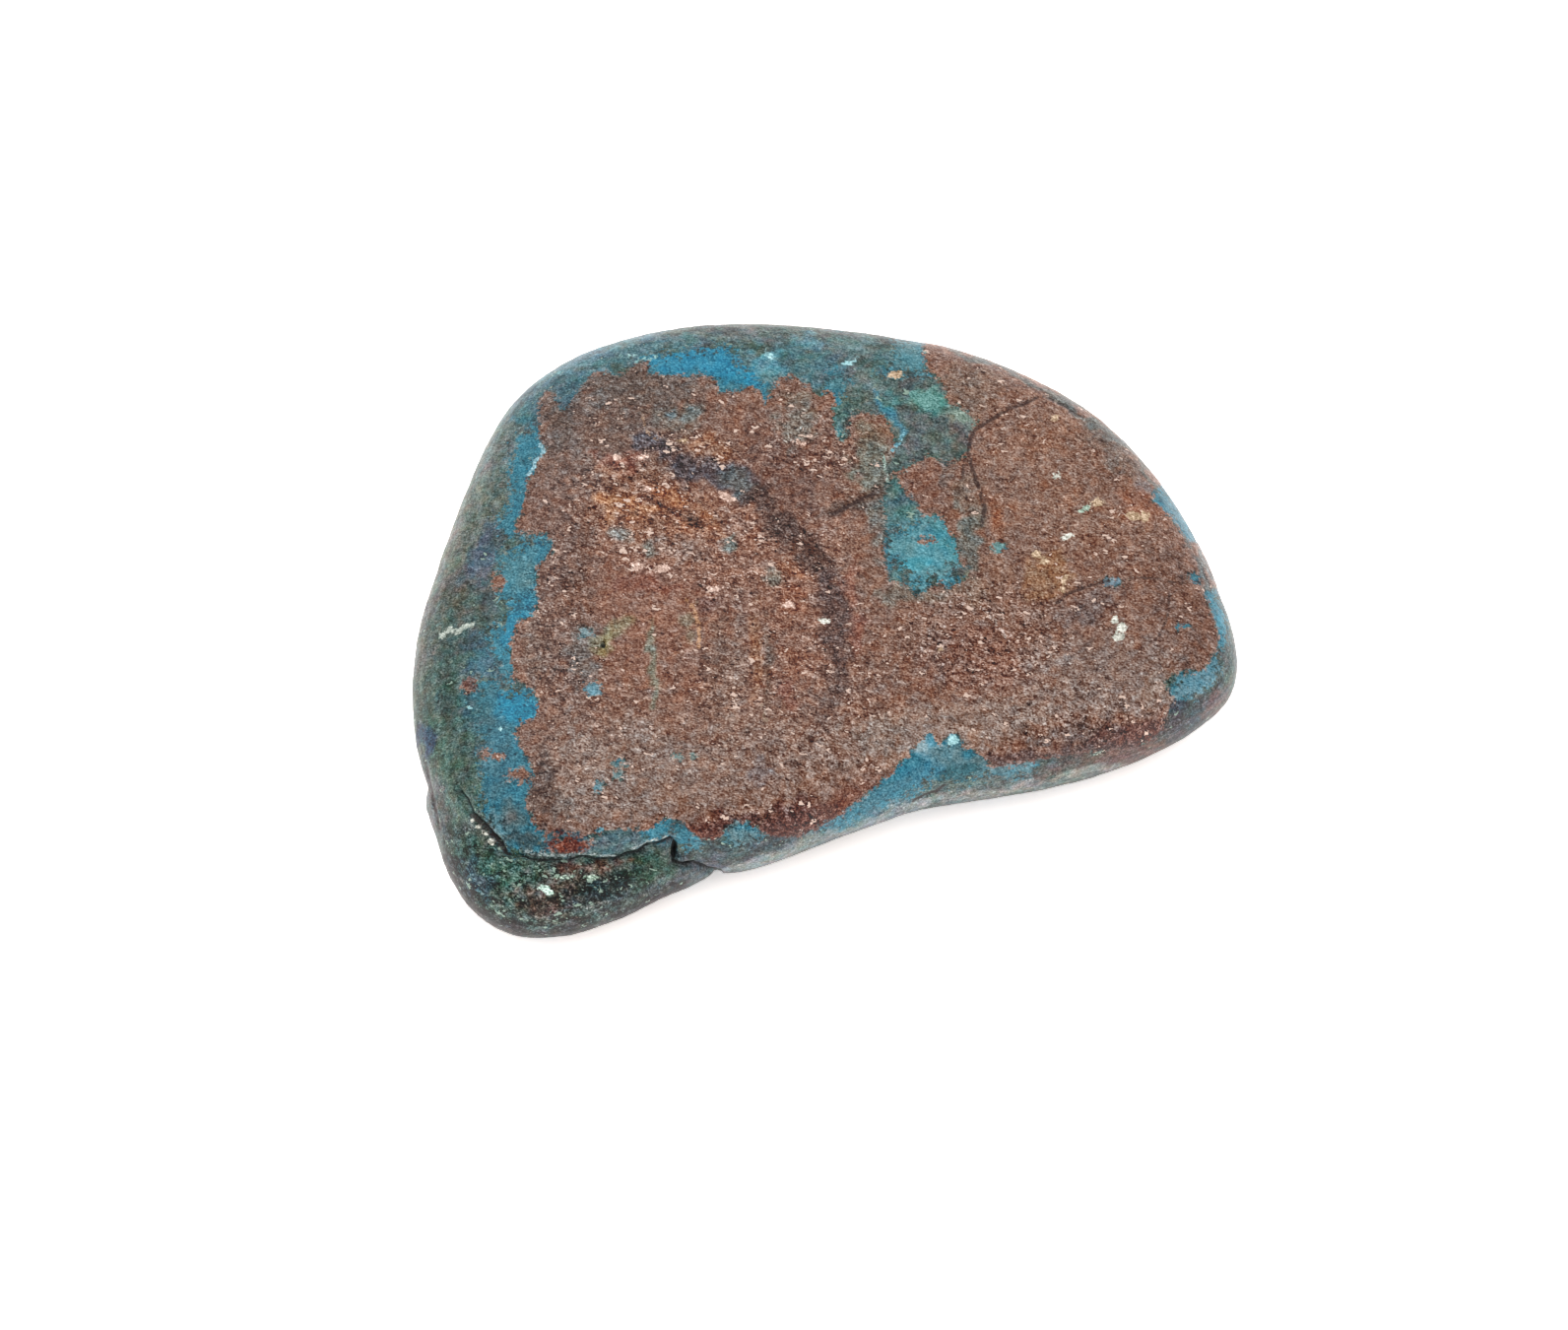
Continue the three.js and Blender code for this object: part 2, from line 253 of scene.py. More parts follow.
# Tints: centre, radii, colour, and a strength and a tilt in degrees where they aren't the usual
# ones. Later ones lie over earlier ones.
FIELD_TINTS = [
    # broad areas
    ((720, 590), (160, 140), (149, 110, 94)), ((620, 440), (100, 60), (120, 96, 86)),
    ((585, 430), (60, 60), (120, 101, 93)), ((568, 430), (14, 26), (98, 87, 82)),
    ((650, 394), (70, 24), (108, 96, 90)), ((880, 570), (36, 44), (144, 111, 96)),
    ((545, 660), (20, 44), (122, 106, 98), 0.7), ((575, 590), (40, 130), (121, 94, 84)),
    ((640, 790), (120, 60), (146, 123, 112)), ((785, 785), (100, 60), (147, 120, 108)),
    # the dark red-brown of the second one is partly the painted shade of the hollow's upper edge
    ((960, 740), (120, 36), (156, 132, 120), 0.9, -10), ((795, 474), (52, 46), (120, 88, 77)),
    # the rusty hollow, with grey patches in and above it
    ((660, 620), (60, 70), (148, 108, 92), 0.7), ((665, 520), (75, 42), (146, 102, 80), 0.8, 10),
    ((632, 512), (30, 13), (164, 112, 80), 0.8, 15), ((700, 530), (40, 12), (164, 108, 80), 0.6, 15),
    ((725, 456), (32, 14), (156, 110, 84), 0.8, 10), ((632, 468), (26, 10), (142, 86, 70), 0.7, 5),
    ((690, 425), (34, 14), (124, 114, 105)), ((680, 420), (6, 6), (104, 124, 130)),
    ((702, 424), (11, 8), (112, 122, 122)), ((630, 538), (12, 6), (136, 138, 134)),
    ((661, 553), (8, 10), (130, 136, 130), 0.8, 20), ((690, 552), (24, 12), (146, 126, 118), 0.6),
    ((741, 549), (7, 12), (116, 128, 124), 0.8, 25), ((784, 585), (9, 11), (134, 130, 120)),
    ((655, 592), (40, 9), (138, 84, 68), 0.6, 4), ((715, 610), (9, 9), (102, 68, 62), 0.7),
    ((700, 632), (9, 16), (136, 128, 108), 0.6),
    # around the teal film
    ((808, 425), (18, 30), (120, 118, 110), 0.7, 5), ((884, 468), (22, 40), (118, 120, 110), 0.9),
    ((884, 440), (20, 16), (140, 112, 90), 0.6), ((940, 492), (26, 24), (134, 98, 84), 0.9),
    ((963, 485), (10, 20), (122, 108, 102)), ((985, 515), (16, 34), (127, 108, 95)),
    ((1009, 522), (9, 28), (154, 96, 66), 0.6, -12), ((985, 395), (30, 26), (137, 113, 99), 0.8, 20),
    # the right end
    ((1085, 480), (100, 80), (148, 114, 98), 0.8, 25), ((1063, 580), (24, 26), (154, 112, 80), 0.7, 30),
    ((1134, 452), (44, 18), (118, 104, 96), 0.8, 42), ((1163, 494), (9, 9), (142, 134, 134)),
    ((1160, 512), (26, 12), (158, 104, 80), 0.6, 20), ((1206, 600), (30, 60), (126, 96, 84), 0.7, -10),
    ((1105, 620), (34, 20), (108, 98, 98), 0.6, -30), ((1120, 690), (90, 46), (143, 122, 113)),
    ((1100, 744), (56, 12), (114, 96, 90), 0.8, -8), ((1104, 757), (22, 12), (94, 78, 74)),
    ((1180, 700), (26, 14), (160, 138, 126), 0.8, -20),
    # the field's edges, also beside the films
    ((560, 815), (22, 24), (118, 105, 99), 0.7), ((551, 800), (12, 52), (104, 83, 75), 0.85),
    ((892, 745), (26, 22), (142, 126, 118), 0.7), ((925, 602), (34, 12), (124, 118, 108), 0.7),
    ((978, 600), (30, 12), (146, 124, 110), 0.7), ((1012, 580), (24, 24), (152, 116, 98), 0.6),
    ((893, 515), (14, 46), (122, 127, 123), 0.7), ((982, 548), (12, 36), (112, 122, 118), 0.7, -10),
    # red and grey bands in the hollow's lower and right parts
    ((808, 640), (18, 70), (142, 100, 82), 0.5, -4), ((802, 569), (15, 13), (152, 100, 74), 0.7),
    ((806, 606), (12, 16), (156, 106, 84), 0.7), ((768, 665), (9, 56), (146, 102, 76), 0.7),
    ((783, 668), (6, 50), (112, 94, 84), 0.7), ((750, 660), (10, 60), (138, 118, 110), 0.6),
    ((864, 600), (9, 28), (148, 92, 74), 0.6), ((872, 640), (10, 20), (142, 88, 74), 0.6),
    ((801, 708), (7, 18), (140, 84, 70), 0.5), ((735, 690), (20, 60), (140, 112, 98), 0.5),
    # the yellow spot and the grey beside it
    ((622, 641), (22, 10), (142, 132, 100), 0.7, -35), ((613, 653), (13, 12), (158, 146, 104), 0.9),
    ((595, 660), (20, 30), (120, 120, 118), 0.6),
    # the front's dark brown, the islands and two lone patches
    ((985, 672), (60, 40), (142, 98, 82), 0.5), ((1150, 750), (54, 22), (88, 55, 46), 0.95, -14),
    ((1040, 770), (50, 9), (100, 76, 72), 0.8, -6), ((1118, 764), (40, 12), (92, 72, 68), 0.85, -10),
    ((705, 848), (26, 12), (104, 62, 50), 0.9), ((800, 838), (78, 24), (90, 55, 43), 0.95, -10),
    ((722, 845), (26, 17), (100, 62, 54), 0.9), ((862, 812), (36, 18), (112, 74, 62), 0.8, -35),
    ((577, 859), (22, 10), (112, 62, 52), 1.0), ((476, 696), (10, 10), (112, 84, 78), 0.9),
    ((768, 782), (12, 14), (112, 108, 114), 0.5),
]
FIELD_STREAKS = [  # points, width, colour, strength if it isn't 0.8
    # the dark vein, from its slaty upper end down to its brown lower one, which is partly the painted
    # shade of the hollow's edge
    ([(646, 447), (674, 455)], 15, (86, 78, 84), 0.9),
    ([(674, 460), (690, 470)], 10, (92, 76, 78)),
    ([(698, 474), (716, 476), (738, 482), (756, 490)], 30, (88, 82, 88), 0.9),
    ([(744, 484), (762, 496)], 20, (98, 101, 100)),
    ([(768, 502), (780, 520), (812, 547), (828, 564), (842, 588)], 24, (92, 70, 64), 0.85),
    ([(842, 588), (849, 615), (853, 655), (847, 690)], 28, (94, 72, 68), 0.85),
    ([(847, 690), (836, 740)], 22, (110, 86, 78), 0.7),
    # the film along the back's edge
    ([(962, 354), (1040, 384), (1100, 420), (1150, 461), (1186, 502)], 9, (94, 101, 98), 0.85),
    ([(1186, 502), (1212, 552), (1230, 600)], 9, (104, 116, 117)),
    # the short vein on the right of the dark one
    ([(846, 521), (886, 502)], 13, (98, 78, 70)),
    # light and dark stripes of the rusty hollow
    ([(608, 503), (640, 507), (668, 515)], 7, (190, 136, 100), 0.85),
    ([(612, 476), (632, 482), (646, 490)], 7, (172, 124, 100), 0.6),
    ([(672, 498), (690, 510)], 13, (168, 110, 74), 0.7),
    ([(620, 497), (640, 498), (656, 502)], 4, (120, 78, 62), 0.6),
    ([(630, 514), (690, 533)], 5, (104, 68, 54), 0.7),
    ([(655, 498), (672, 512), (716, 538)], 6, (106, 70, 56), 0.75),
    ([(712, 522), (736, 540)], 8, (164, 112, 80), 0.6),
    # upright bands in the hollow's lower part
    ([(661, 636), (658, 670), (663, 712)], 10, (136, 136, 120), 0.85),
    ([(714, 632), (712, 660), (716, 690)], 9, (106, 76, 66), 0.75),
    ([(690, 640), (688, 700)], 6, (116, 86, 74), 0.5),
    ([(731, 620), (728, 680)], 7, (116, 84, 70), 0.5),
    ([(944, 640), (955, 665), (950, 700)], 12, (110, 100, 98), 0.4),
]
RIM_TINTS = [
    # the left side, from its upper end
    ((556, 398), (64, 40), (80, 112, 122), 0.9, -35), ((520, 442), (26, 34), (66, 116, 132), 0.9, 30),
    ((500, 470), (30, 60), (104, 118, 114), 0.9, 25), ((470, 560), (34, 70), (106, 115, 108), 0.9, 22),
    ((488, 572), (16, 40), (76, 96, 112), 0.8, 20), ((495, 606), (10, 22), (84, 90, 90), 0.6),
    ((466, 606), (22, 26), (90, 90, 84), 0.7, 20), ((485, 668), (22, 24), (70, 112, 126), 0.9),
    ((448, 700), (30, 70), (80, 98, 92), 0.9), ((430, 650), (14, 70), (104, 110, 106), 0.7, 8),
    ((478, 722), (20, 24), (64, 108, 116)), ((462, 780), (28, 60), (82, 106, 96), 0.9, -8),
    ((433, 756), (7, 22), (56, 76, 100), 0.9, -8), ((442, 812), (9, 40), (96, 100, 102), 0.8, -12),
    # the lobe below the ledge
    ((485, 880), (40, 50), (64, 82, 76), 0.9, -20), ((512, 895), (40, 34), (72, 97, 86), 0.9),
    ((487, 894), (16, 26), (50, 70, 80), 0.9, -30), ((580, 905), (56, 26), (80, 70, 62), 0.9, -8),
    ((616, 905), (40, 16), (46, 64, 66), 0.9, -12), ((660, 882), (30, 14), (56, 78, 66), 0.8, -10),
    ((600, 879), (30, 6), (108, 78, 68), 0.7),
    # the front, from the left
    ((620, 855), (70, 12), (82, 106, 114), 0.9, -4), ((775, 856), (80, 20), (70, 82, 85), 0.95, -16),
    ((700, 890), (26, 10), (86, 96, 104), 0.7, -20), ((880, 830), (60, 14), (88, 122, 134), 0.8, -24),
    ((1000, 796), (70, 14), (98, 112, 110), 0.9, -8), ((1120, 772), (80, 14), (88, 80, 76), 0.9, -10),
    ((1150, 764), (60, 12), (98, 78, 72), 0.9, -14),
    # the right end, from the front
    ((1215, 725), (34, 22), (70, 80, 84), 0.9, -30), ((1202, 724), (22, 22), (62, 76, 82), 0.9),
    ((1238, 716), (13, 26), (100, 84, 80), 0.8, 20), ((1190, 739), (24, 12), (66, 66, 68), 0.9, -25),
    ((1244, 650), (10, 60), (86, 103, 103)), ((1215, 540), (20, 40), (90, 122, 132), 0.8, 25),
    # the back
    ((620, 358), (70, 22), (92, 132, 142), 0.8, -12), ((740, 342), (70, 10), (104, 118, 118)),
    ((690, 346), (34, 8), (96, 128, 136)), ((800, 372), (60, 26), (90, 124, 130), 0.9),
    ((778, 372), (18, 20), (100, 160, 174), 0.7), ((822, 348), (18, 9), (90, 136, 148)),
    ((834, 368), (18, 20), (90, 124, 130)), ((862, 352), (26, 16), (106, 134, 136)),
    # the film in the field and behind it
    ((920, 400), (60, 40), (92, 104, 102), 0.9), ((903, 408), (14, 12), (78, 122, 126)),
    ((918, 434), (18, 14), (106, 120, 118)), ((946, 446), (34, 20), (100, 109, 107), 0.9),
    ((976, 446), (12, 20), (114, 111, 104)), ((852, 425), (7, 22), (84, 136, 134)),
    ((880, 382), (24, 14), (110, 128, 126), 0.9), ((900, 366), (14, 12), (84, 116, 120), 0.6),
    ((915, 510), (22, 28), (84, 118, 122), 0.9), ((980, 584), (10, 8), (136, 150, 128), 0.8, -20),
    ((906, 586), (8, 8), (112, 150, 148), 0.7), ((945, 600), (20, 8), (72, 116, 128), 0.7),
    ((944, 408), (20, 14), (100, 156, 150), 0.8, 20), ((976, 421), (16, 8), (128, 148, 136), 0.8, 25),
]
RIM_STREAKS = [
    ([(889, 396), (893, 412), (905, 421), (919, 441)], 7, (70, 128, 150), 0.9),
    # painted shade: a dark band along the lobe's lower outline, where it meets the table
    ([(455, 882), (475, 918), (500, 940), (540, 949), (600, 941), (650, 925), (690, 904)], 20,
     (48, 47, 50), 0.92),
    ([(470, 500), (450, 590)], 8, (118, 124, 117), 0.6),
    ([(498, 455), (476, 540)], 7, (124, 130, 124), 0.5),
]
PAINTED_LIP_REFLECTIONS = [  # the pale lip along the front's lower edge: a painted reflection of the white table
    ([(728, 885), (760, 879), (793, 869), (893, 830), (927, 818), (960, 810)], 9, (142, 151, 150), 0.75),
    ([(960, 810), (1027, 800), (1140, 776)], 8, (144, 147, 144), 0.7),
]
BLUE_TINTS = [
    # the left strip
    ((522, 720), (30, 20), (48, 140, 172), 0.9), ((490, 722), (14, 24), (70, 116, 126)),
    ((520, 640), (14, 26), (56, 142, 172)), ((502, 655), (8, 16), (84, 160, 182), 0.7),
    ((522, 585), (22, 22), (84, 136, 148), 0.9), ((503, 775), (18, 54), (74, 118, 132)),
    ((518, 838), (22, 22), (86, 118, 126), 0.9), ((517, 834), (9, 8), (92, 104, 108)),
    ((535, 857), (20, 10), (68, 85, 89), 0.9),
    # the top strip
    ((720, 368), (60, 14), (58, 140, 172), 0.9), ((755, 385), (20, 12), (44, 142, 176), 0.9),
    # the patch in the field
    ((937, 565), (36, 34), (104, 162, 172), 0.9), ((922, 574), (16, 12), (84, 168, 184)),
    ((958, 545), (12, 22), (92, 154, 160), 0.7, -20),
    # the front edge
    ((943, 758), (22, 16), (116, 172, 192), 0.8, -20), ((940, 782), (40, 12), (66, 124, 146), 0.8, -30),
    ((935, 755), (14, 12), (164, 188, 194), 0.9), ((962, 764), (20, 10), (112, 150, 160), 0.9, -10),
    ((890, 812), (40, 10), (76, 122, 136), 0.8, -28),
    # the right edge
    ((1194, 525), (22, 34), (104, 144, 158), 0.8, 35), ((1240, 640), (10, 30), (80, 144, 164), 0.8, -10),
    ((1218, 692), (34, 18), (112, 152, 166), 0.9, -20),
    # smaller patches
    ((752, 846), (20, 14), (98, 128, 134), 0.9), ((852, 388), (18, 14), (86, 136, 146), 0.9),
    ((918, 362), (28, 18), (92, 138, 146), 0.9), ((1005, 776), (50, 12), (98, 132, 140), 0.9),
    ((975, 784), (28, 9), (54, 99, 108), 0.9, -10),
    # the small spots that lie alone in the field
    ((1014, 556), (18, 14), (120, 158, 156), 1.0), ((1129, 591), (22, 12), (124, 146, 158), 1.0, -10),
    ((603, 700), (18, 14), (116, 156, 170), 1.0), ((592, 641), (20, 14), (130, 156, 162), 1.0),
    ((607, 798), (14, 12), (112, 152, 164), 1.0), ((640, 780), (36, 18), (120, 142, 142), 1.0),
    ((698, 768), (24, 14), (124, 142, 138), 1.0),
]

MINERALS_AND_PAINTED_LIGHT = {  # ground colour, tints and streaks, among them a painted reflection and painted shade
    "field_colour": (CUPRITE, FIELD_TINTS, FIELD_STREAKS),
    "rim_colour": (RIM, RIM_TINTS, RIM_STREAKS + PAINTED_LIP_REFLECTIONS),
    "blue_colour": (BLUE, BLUE_TINTS, PAINTED_LIP_REFLECTIONS),
}

# How thickly the face's painted glints lie, and how coarse its grain is: centre, radii, strength, and a
# tilt in degrees if there is one.
GLINTS = [
    ((650, 520), (80, 60), 1.0, 10), ((760, 560), (120, 60), 0.8, 10), ((700, 455), (70, 20), 0.9, 8),
    ((830, 450), (60, 40), 0.7), ((800, 700), (120, 110), 0.6), ((1000, 650), (90, 60), 0.85),
    ((780, 830), (70, 16), 0.8), ((1150, 735), (50, 20), 0.6), ((600, 760), (70, 70), 0.5),
    ((1080, 720), (80, 40), 0.65), ((620, 470), (40, 12), 0.8), ((540, 905), (110, 40), 1.0),
    ((490, 850), (30, 30), 0.7), ((565, 630), (36, 110), 0.75),
]
FIELD_GLINT = 0.22  # the least anywhere in the field
UNSEEN_GLINT = 0.3

# The cuprite field of the underside, in mm from above.
UNDER_FIELD = [
    (-21, 13), (-12, 19), (-3, 16), (4, 19), (12, 15), (17, 9), (23, 5), (24, -2), (17, -7),
    (9, -6), (3, -10), (-6, -11), (-11, -15), (-19, -17), (-22, -9), (-18, -3), (-24, 3),
]
UNDER_EDGE_HEIGHT = 1.2  # mm: above it, the unseen side has no cuprite
UNDER_WANDER = (7.0, 2.4)  # how far its edge strays: size and reach in mm
UNDER_VEINS = (11.0, 9.0, 0.5)  # size in mm, how sharp, half width in mm
UNDER_BLUE = (6.0, 4.0, 0.9)  # size in mm, how sharp, how scarce

HIDDEN_LIMIT = 0.3  # how far round the rim grains and cracks go, 0 at the silhouette, 1 behind it
BLUE_BORDER = 0.4  # mm by which the blue grows toward the field's edge, so that no gap is left
WANDER = (2.2, 9)  # how far a tint's edge strays: size in mm, and reach in pixels
MOTTLE = (0.8, 0.6)  # a tint's own blotches: size in mm, and strength
BELLY_SHADE = 0.72  # painted shade: how much darker the colours are made where the rim curves in to the table

# --- The room's sizes, in metres, and its light ---

FLOOR_WIDTH = 3.0
FLOOR_DROP = 0.00002  # so that the stone and the floor share no plane
FLOOR_WHITE = (2.4, 2.25, 2.2)  # over 1: the table is overexposed, so only deep shadow shows on it
ROOM_FRONT = 0.9
ROOM_BACK = 1.05
LAMP_PLACE = (-0.2, 0.3, 0.5)
LAMP_WIDTH = 0.3
LAMP_POWER = 0.86

# --- Measuring ---


def pixels_of(points):
    """The pixel of the frame at which the camera sees each point, given in mm."""
    rays = points - CAMERA_PLACE
    depth = -(rays @ TO_CAMERA)
    across = FRAME_PIXELS[0] / 2 + FOCAL_PIXELS * rays[:, 0] / depth
    down = FRAME_PIXELS[1] / 2 - FOCAL_PIXELS * (rays @ IMAGE_UP) / depth
    return np.stack([across, down], axis=1)


def ease(values, low, high):
    """Smooth steps from 0 at low to 1 at high."""
    share = np.clip((values - low) / (high - low), 0, 1)
    return share * share * (3 - 2 * share)


def line_distance(places, line, closed=False):
    """The distance from each place to a line through a list of corners."""
    corners = np.array(line, float)
    starts = corners if closed else corners[:-1]
    ends = np.roll(corners, -1, axis=0) if closed else corners[1:]
    nearest = np.full(len(places), np.inf)
    for start, end in zip(starts, ends):
        along = end - start
        share = np.clip((places - start) @ along / (along @ along), 0, 1)
        gap = places - start - share[:, None] * along
        nearest = np.minimum(nearest, np.hypot(gap[:, 0], gap[:, 1]))
    return nearest


def outline_depth(places, outline):
    """How far each place lies inside an outline; outside it, the number is negative."""
    corners = np.array(outline, float)
    inside = np.zeros(len(places), bool)
    for start, end in zip(corners, np.roll(corners, -1, axis=0)):
        if start[1] == end[1]:
            continue
        spans = (start[1] > places[:, 1]) != (end[1] > places[:, 1])
        slope = (end[0] - start[0]) / (end[1] - start[1])
        inside ^= spans & (places[:, 0] < start[0] + (places[:, 1] - start[1]) * slope)
    distance = line_distance(places, outline, closed=True)
    return np.where(inside, distance, -distance)


def oval_reach(places, centre, radii, tilt=0):
    """The distance from an oval's centre as a share of its radius: 1 on its edge."""
    angle = np.radians(tilt)
    offset = places - centre
    across = offset[:, 0] * np.cos(angle) + offset[:, 1] * np.sin(angle)
    down = offset[:, 1] * np.cos(angle) - offset[:, 0] * np.sin(angle)
    return np.hypot(across / radii[0], down / radii[1])


def oval_depth(places, centre, radii, tilt=0):
    """How far each place lies inside a small oval, counted across its narrow side."""
    return (1 - oval_reach(places, centre, radii, tilt)) * min(radii)


def cloud(points, size, seed, octaves=3):
    """Smooth random numbers of about -1 to 1, in blotches of a size in mm."""
    shift = Vector((seed * 17.3, seed * -9.1, seed * 5.7))
    return np.array([noise.fractal(Vector(point) / size + shift, 1.0, 2.0, octaves)
                     for point in points])


def linear(colour):
    """A colour's light from its 0 to 255 values."""
    share = np.asarray(colour, float) / 255
    return np.where(share <= 0.04045, share / 12.92, ((share + 0.055) / 1.055) ** 2.4)


def paint(colour):
    """The base colour that looks like a given colour in this room's light."""
    return np.clip((linear(colour) - GLOSS_LIGHT) / WHITE_LIGHT, *PAINT_RANGE)


# --- Painting ---


def tint_share(places, mottle, centre, radii, colour, strength=0.8, tilt=0):
    """How far a mottled oval of another colour covers each place, and the colour."""
    reach = oval_reach(places, centre, radii, tilt) + mottle
    return strength * ease(reach, 1.25, 0.6), colour


def streak_share(places, mottle, line, width, colour, strength=0.8):
    """The same for a mottled streak."""
    reach = line_distance(places, line) / (width / 2) + mottle
    return strength * ease(reach, 1.35, 0.5), colour


def blend_zones(places, mottle, ground, tints, streaks):
    """One colour for each place: a ground with tints and streaks of other colours over it."""
    colours = np.tile(paint(ground), (len(places), 1))
    layers = [tint_share(places, mottle, *tint) for tint in tints]
    layers += [streak_share(places, mottle, *streak) for streak in streaks]
    for share, colour in layers:
        colours += share[:, None] * (paint(colour) - colours)
    return colours


def seen_depths(places):
    """How deep each place lies in the cuprite field and in the bright blue, in mm."""
    blue = np.full(len(places), -np.inf)
    for outline in BLUE_PATCHES:
        blue = np.maximum(blue, outline_depth(places, outline))
    for centre, radii in BLUE_SPOTS:
        blue = np.maximum(blue, oval_depth(places, centre, radii))
    spots = np.full(len(places), -np.inf)
    for centre, radii in BROWN_SPOTS:
        spots = np.maximum(spots, oval_depth(places, centre, radii))
    field = outline_depth(places, FIELD)
    for film in (NORTH_FILM, SOUTH_FILM):
        field = np.minimum(field, -outline_depth(places, film))
    for centre, radii in BLUE_SPOTS:
        field = np.minimum(field, -oval_depth(places, centre, radii))
    field = np.maximum(field, spots)
    return field / PIXELS_PER_MM, blue / PIXELS_PER_MM


def under_depths(points):
    """The same two depths on the side that the camera can't see."""
    size, reach = UNDER_WANDER
    wander = np.stack([cloud(points, size, seed) for seed in (41, 42)], axis=1) * reach
    field = outline_depth(points[:, :2] + wander, UNDER_FIELD)
    size, sharpness, half_width = UNDER_VEINS
    veins = half_width - np.abs(cloud(points, size, 43)) * sharpness
    field = np.minimum(field, -veins)
    field = np.where(points[:, 2] > UNDER_EDGE_HEIGHT, -np.abs(field) - 0.5, field)
    size, sharpness, scarcity = UNDER_BLUE
    blue = np.maximum(cloud(points, size, 44) * sharpness - scarcity, veins)
    return field, blue


def grain_map(places):
    """How deep each place lies in a pale grain or line, in mm, and the colour there."""
    depth = np.full(len(places), -np.inf)
    colours = np.tile(paint(WHITE), (len(places), 1))
    shapes = [(oval_depth(places, centre, radii, *tilt), colour)
              for centre, radii, colour, *tilt in FLECKS]
    shapes += [(width / 2 - line_distance(places, line), colour)
               for line, width, colour in PALE_LINES]
    for shape_depth, colour in shapes:
        nearer = shape_depth > depth
        depth = np.where(nearer, shape_depth, depth)
        colours[nearer] = paint(colour)
    return depth / PIXELS_PER_MM, colours


def crack_depth(places):
    """How far each place lies within a hairline crack's edges, in mm."""
    depth = np.full(len(places), -np.inf)
    for line, width in CRACKS:
        depth = np.maximum(depth, width / 2 - line_distance(places, line))
    return depth / PIXELS_PER_MM


def ledge_depth(places):
    """How far the crack under the ledge cuts in, in mm."""
    grooves = [depth * np.exp(-(line_distance(places, line) / width) ** 2)
               for line, (depth, width) in ((LEDGE, LEDGE_GROOVE), (LEDGE_RIGHT, RIGHT_GROOVE))]
    holes = [depth * ease(oval_reach(places, centre, radii), 1.3, 0.3)
             for centre, radii, depth in HOLES]
    return np.maximum.reduce(grooves + holes)


def glint_map(places, field):
    """How coarse the grain is and how thickly the painted glints lie, 0 to 1."""
    density = FIELD_GLINT * ease(field, -0.2, 0.2)
    for centre, radii, strength, *tilt in GLINTS:
        share = ease(oval_reach(places, centre, radii, *tilt), 1.4, 0.5)
        density = np.maximum(density, strength * share)
    return density


# --- Shaping ---


def add_object(name, data):
    """A new object in the scene."""
    item = bpy.data.objects.new(name, data)
    bpy.context.scene.collection.objects.link(item)
    return item


def fine_mesh(source):
    """The solid's surface as small, even squares, halved once more on the seen side."""
    copy = add_object("fine", source.data.copy())
    remesh = copy.modifiers.new("remesh", "REMESH")
    remesh.mode = "VOXEL"
    remesh.voxel_size = VOXEL * MM
    evaluated = copy.evaluated_get(bpy.context.evaluated_depsgraph_get())
    mesh = bpy.data.meshes.new_from_object(evaluated)
    bpy.data.objects.remove(copy)
    shape = bmesh.new()
    shape.from_mesh(mesh)
    shape.normal_update()
    toward = Vector(TO_CAMERA)
    seen = {face for face in shape.faces if face.normal.dot(toward) > -SEEN_BELOW}
    edges = {edge for face in seen for edge in face.edges}
    bmesh.ops.subdivide_edges(shape, edges=list(edges), cuts=1, use_grid_fill=True)
    bmesh.ops.triangulate(shape, faces=[face for face in shape.faces if len(face.verts) > 4])
    shape.to_mesh(mesh)
    shape.free()
    return mesh


def smooth(points, edges, rounds):
    """Taubin smoothing: evens out the steps and keeps the volume."""
    ends = np.concatenate([edges, edges[:, ::-1]])
    count = np.bincount(ends[:, 0], minlength=len(points))[:, None]
    for _ in range(rounds):
        for share in SMOOTHING_SHARES:
            total = np.zeros_like(points)
            for axis in range(3):
                total[:, axis] = np.bincount(ends[:, 0], points[ends[:, 1], axis], len(points))
            points = points + share * (total / count - points)
    return points


def set_attribute(mesh, name, values):
    """Stores one number or one colour for each point of a mesh."""
    if values.ndim == 1:
        mesh.attributes.new(name, "FLOAT", "POINT").data.foreach_set("value", values)
        return
    rgba = np.concatenate([values, np.ones((len(values), 1))], axis=1)
    mesh.attributes.new(name, "FLOAT_COLOR", "POINT").data.foreach_set("color", rgba.ravel())


def read_points(mesh):
    """A mesh's points and their normals, in mm."""
    points = np.empty(len(mesh.vertices) * 3)
    normals = np.empty(len(mesh.vertices) * 3)
    mesh.vertices.foreach_get("co", points)
    mesh.vertex_normals.foreach_get("vector", normals)
    return points.reshape(-1, 3) / MM, normals.reshape(-1, 3)


def write_points(mesh, points):
    mesh.vertices.foreach_set("co", (points * MM).ravel())
    mesh.update()


